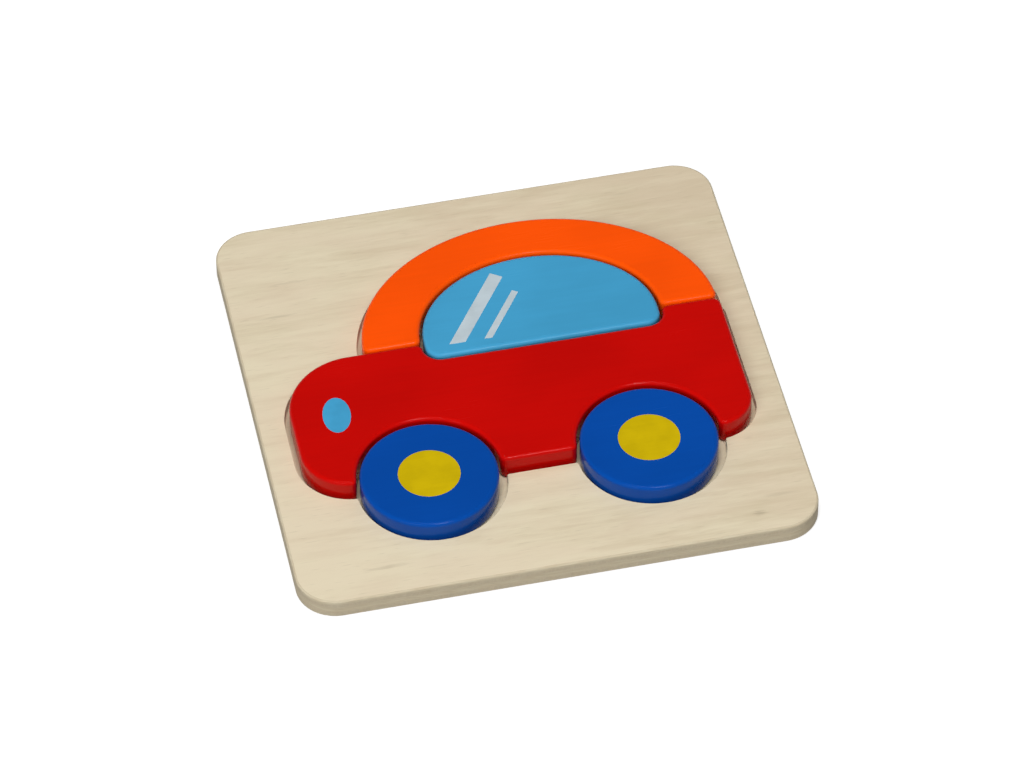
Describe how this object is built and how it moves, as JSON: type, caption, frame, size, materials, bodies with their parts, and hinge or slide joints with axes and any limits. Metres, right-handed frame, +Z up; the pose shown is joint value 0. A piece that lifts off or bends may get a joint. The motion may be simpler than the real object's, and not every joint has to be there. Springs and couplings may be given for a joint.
{
  "type": "inset puzzle",
  "caption": "Square wooden tray with a car-shaped recess, and thick painted pieces of the car that lie loose in it for a small child to lift out and fit back.",
  "frame": {"origin": "centre of the tray's underside", "axes": "+Z up out of the tray, +Y from the car's wheels to its roof, +X along the car from its nose to its tail"},
  "size_m": [0.15, 0.15, 0.0114],
  "materials": {
    "plywood": "sanded pale plywood, clear matt varnish",
    "orange_paint": "gloss paint on wood",
    "sky_blue_paint": "gloss paint on wood",
    "white_paint": "thin printed white paint",
    "red_paint": "gloss paint on wood",
    "blue_paint": "gloss paint on wood",
    "yellow_paint": "thin printed yellow paint"
  },
  "bodies": {
    "tray": {"tray_base": "plywood", "tray_frame": "plywood"},
    "roof": {"roof": "orange_paint"},
    "window": {"window": "sky_blue_paint", "wide_shine": "white_paint", "narrow_shine": "white_paint"},
    "car_body": {"car_body": "red_paint", "headlight": "sky_blue_paint"},
    "front_wheel": {"front_wheel": "blue_paint", "front_hub_spot": "yellow_paint"},
    "rear_wheel": {"rear_wheel": "blue_paint", "rear_hub_spot": "yellow_paint"}
  },
  "joints": [
    {"name": "roof_lift", "type": "slide", "parent": "tray", "child": "roof", "axis": [0, 0, 1], "range_m": [0, 0.04]},
    {"name": "window_lift", "type": "slide", "parent": "tray", "child": "window", "axis": [0, 0, 1], "range_m": [0, 0.04]},
    {"name": "body_lift", "type": "slide", "parent": "tray", "child": "car_body", "axis": [0, 0, 1], "range_m": [0, 0.04]},
    {"name": "front_wheel_lift", "type": "slide", "parent": "tray", "child": "front_wheel", "axis": [0, 0, 1], "range_m": [0, 0.04]},
    {"name": "rear_wheel_lift", "type": "slide", "parent": "tray", "child": "rear_wheel", "axis": [0, 0, 1], "range_m": [0, 0.04]}
  ]
}
